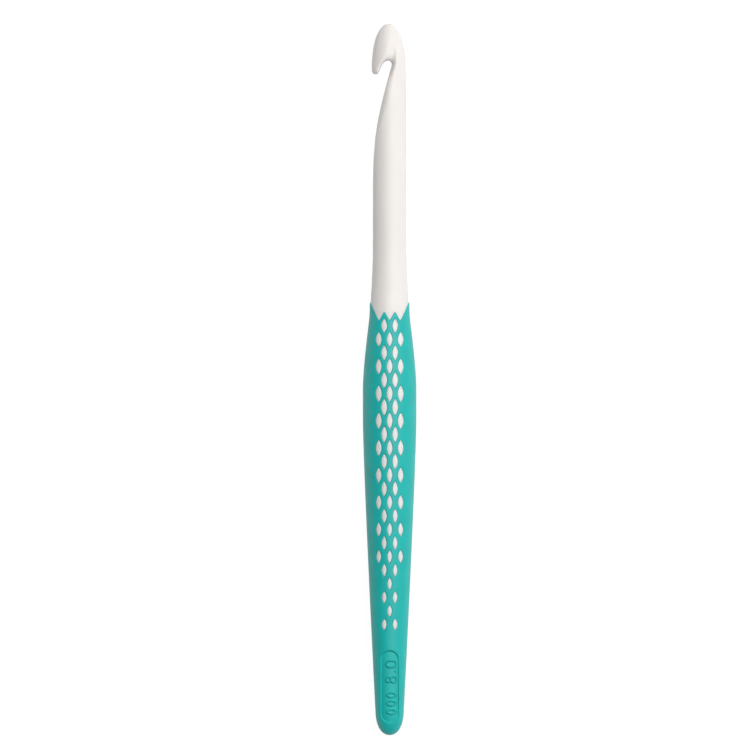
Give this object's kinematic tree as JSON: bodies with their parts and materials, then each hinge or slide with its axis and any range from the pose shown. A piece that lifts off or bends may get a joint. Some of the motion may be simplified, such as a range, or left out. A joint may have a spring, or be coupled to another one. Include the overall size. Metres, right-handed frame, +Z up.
{
  "type": "crochet hook",
  "caption": "Crochet hook with a smooth white shaft and hooked tip, and a swollen teal soft grip showing white lens-shaped studs, a sawtooth top edge and a sunk size plate.",
  "frame": {"origin": "on the resting surface, under the middle of the hook's length and on the line below its axis", "axes": "+Y along the handle from the butt to the hook tip, +Z up from the resting surface towards the side with the size plate, and the throat opens towards -X"},
  "size_m": [0.0128, 0.17, 0.0128],
  "materials": {
    "hard_polymer": "satin moulded, pearl white",
    "soft_elastomer": "matt soft-touch, teal"
  },
  "bodies": {
    "root": {"hook_core": "hard_polymer", "soft_grip": "soft_elastomer"}
  },
  "joints": []
}
